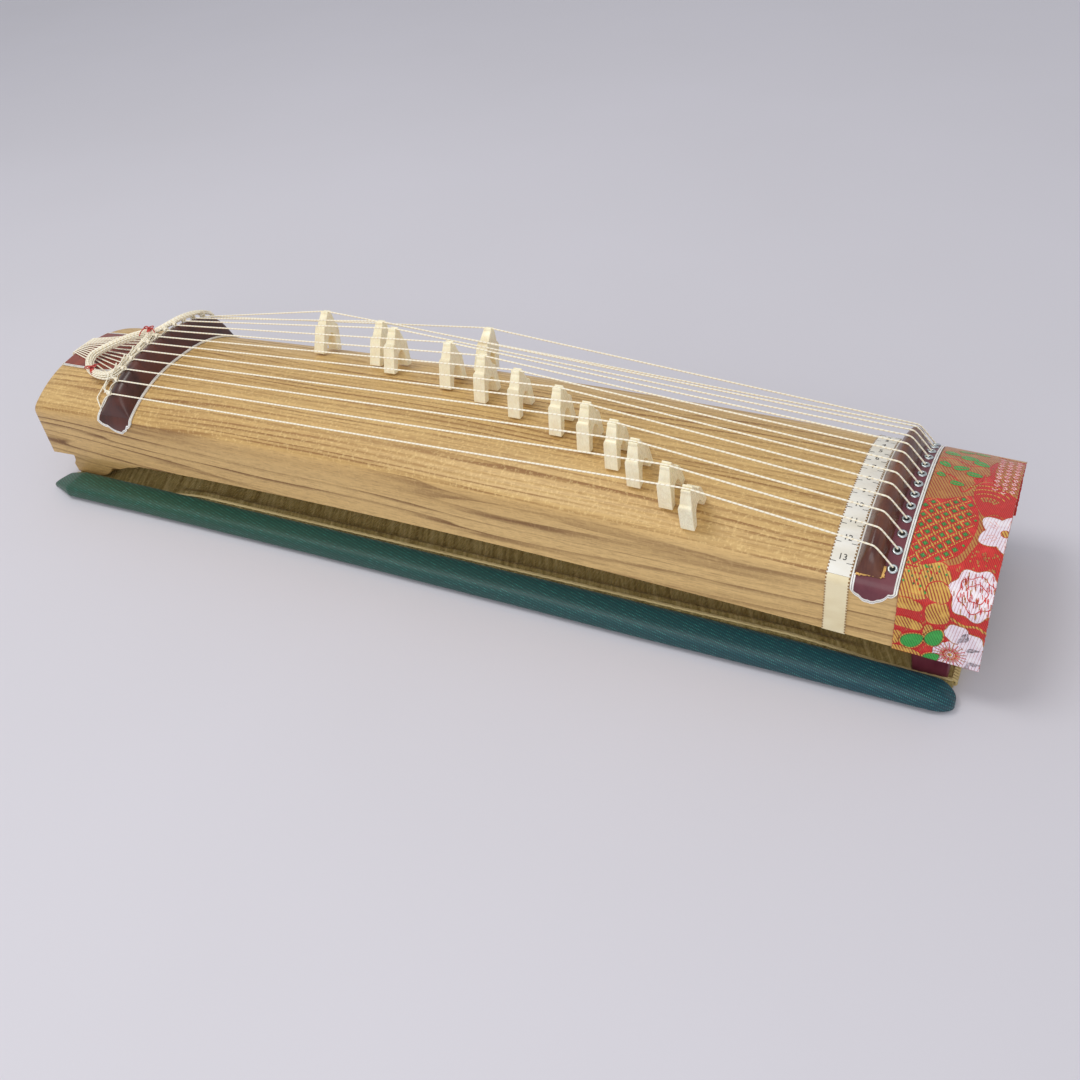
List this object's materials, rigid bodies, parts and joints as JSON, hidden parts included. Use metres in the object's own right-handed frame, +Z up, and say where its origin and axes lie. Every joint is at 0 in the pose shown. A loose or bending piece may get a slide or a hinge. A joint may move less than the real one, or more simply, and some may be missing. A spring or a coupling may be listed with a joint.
{
  "type": "miniature koto",
  "caption": "Miniature koto: a long arched wooden string zither with movable bridges and a brocade covered head, lying on a rush mat with cloth edging.",
  "frame": {"origin": "on the ground under the middle of the instrument, at the middle of the underside of its mat", "axes": "+X along the strings from the tail to the brocade covered head, +Y to the side away from the player (string 1), +Z up"},
  "size_m": [0.6004, 0.148, 0.1075],
  "materials": {
    "paulownia_top": "satin, straight brown grain along the strings",
    "paulownia_side": "satin, coarser grain",
    "maroon_plate": "glossy dark maroon",
    "white_edge": "white edge strip with dark lines",
    "number_paper": "white paper with printed numbers",
    "cream_tape": "cream tape",
    "brocade": "red, gold, green and white woven brocade",
    "ivory": "ivory coloured, glossy",
    "twisted_string": "cream twisted cord",
    "red_thread": "red thread",
    "rush": "woven olive rush",
    "green_cloth": "ribbed green cloth with a slight sheen"
  },
  "bodies": {
    "mat": {"mat_core": "rush", "mat_edging_front": "green_cloth", "mat_edging_rear": "green_cloth"},
    "koto": {"top_board": "paulownia_top", "brace_1": "paulownia_top", "brace_2": "paulownia_top", "brace_3": "paulownia_top", "side_board_front": "paulownia_side", "side_board_rear": "paulownia_side", "back_board": "paulownia_side", "tail_end_board": "paulownia_side", "head_end_board": "paulownia_side", "tail_foot_front": "paulownia_side", "tail_foot_rear": "paulownia_side", "head_foot_front": "maroon_plate", "head_foot_rear": "maroon_plate", "head_plate": "maroon_plate", "tail_plate": "maroon_plate", "oak_leaf_plate": "maroon_plate", "head_saddle": "maroon_plate", "tail_saddle": "maroon_plate", "head_plate_trim": "white_edge", "tail_plate_trim": "white_edge", "oak_leaf_trim": "white_edge", "number_tape": "number_paper", "side_tape_front": "cream_tape", "side_tape_rear": "cream_tape", "brocade_cover": "brocade", "string_01": "twisted_string", "string_02": "twisted_string", "string_03": "twisted_string", "string_04": "twisted_string", "string_05": "twisted_string", "string_06": "twisted_string", "string_07": "twisted_string", "string_08": "twisted_string", "string_09": "twisted_string", "string_10": "twisted_string", "string_11": "twisted_string", "string_12": "twisted_string", "string_13": "twisted_string", "string_hank": "twisted_string", "hank_tie_near": "red_thread", "hank_tie_far": "red_thread"},
    "bridge_01": {"bridge_01": "ivory"},
    "bridge_02": {"bridge_02": "ivory"},
    "bridge_03": {"bridge_03": "ivory"},
    "bridge_04": {"bridge_04": "ivory"},
    "bridge_05": {"bridge_05": "ivory"},
    "bridge_06": {"bridge_06": "ivory"},
    "bridge_07": {"bridge_07": "ivory"},
    "bridge_08": {"bridge_08": "ivory"},
    "bridge_09": {"bridge_09": "ivory"},
    "bridge_10": {"bridge_10": "ivory"},
    "bridge_11": {"bridge_11": "ivory"},
    "bridge_12": {"bridge_12": "ivory"},
    "bridge_13": {"bridge_13": "ivory"}
  },
  "joints": [
    {"name": "koto_lift", "type": "slide", "parent": "mat", "child": "koto", "axis": [0, 0, 1], "range_m": [0, 0.06]},
    {"name": "bridge_slide_01", "type": "slide", "parent": "koto", "child": "bridge_01", "axis": [1, 0, 0.0012], "range_m": [-0.02, 0.004], "deforming": ["string_01"]},
    {"name": "bridge_slide_02", "type": "slide", "parent": "koto", "child": "bridge_02", "axis": [0.9997, 0, 0.0236], "range_m": [-0.005, 0.019], "deforming": ["string_02"]},
    {"name": "bridge_slide_03", "type": "slide", "parent": "koto", "child": "bridge_03", "axis": [0.9999, 0, 0.0141], "range_m": [-0.019, 0.0035], "deforming": ["string_03"]},
    {"name": "bridge_slide_04", "type": "slide", "parent": "koto", "child": "bridge_04", "axis": [0.9999, 0, 0.0111], "range_m": [-0.0035, 0.017], "deforming": ["string_04"]},
    {"name": "bridge_slide_05", "type": "slide", "parent": "koto", "child": "bridge_05", "axis": [1, 0, 0.0024], "range_m": [-0.017, 0.0095], "deforming": ["string_05"]},
    {"name": "bridge_slide_06", "type": "slide", "parent": "koto", "child": "bridge_06", "axis": [1, 0, -0.003], "range_m": [-0.0095, 0.009], "deforming": ["string_06"]},
    {"name": "bridge_slide_07", "type": "slide", "parent": "koto", "child": "bridge_07", "axis": [1, 0, -0.0083], "range_m": [-0.009, 0.0105], "deforming": ["string_07"]},
    {"name": "bridge_slide_08", "type": "slide", "parent": "koto", "child": "bridge_08", "axis": [0.9999, 0, -0.0141], "range_m": [-0.0105, 0.006], "deforming": ["string_08"]},
    {"name": "bridge_slide_09", "type": "slide", "parent": "koto", "child": "bridge_09", "axis": [0.9998, 0, -0.0181], "range_m": [-0.006, 0.0055], "deforming": ["string_09"]},
    {"name": "bridge_slide_10", "type": "slide", "parent": "koto", "child": "bridge_10", "axis": [0.9998, 0, -0.0219], "range_m": [-0.0055, 0.0035], "deforming": ["string_10"]},
    {"name": "bridge_slide_11", "type": "slide", "parent": "koto", "child": "bridge_11", "axis": [0.9997, 0, -0.025], "range_m": [-0.0035, 0.006], "deforming": ["string_11"]},
    {"name": "bridge_slide_12", "type": "slide", "parent": "koto", "child": "bridge_12", "axis": [0.9996, 0, -0.029], "range_m": [-0.006, 0.003], "deforming": ["string_12"]},
    {"name": "bridge_slide_13", "type": "slide", "parent": "koto", "child": "bridge_13", "axis": [0.9995, 0, -0.0318], "range_m": [-0.003, 0.04], "deforming": ["string_13"]}
  ]
}
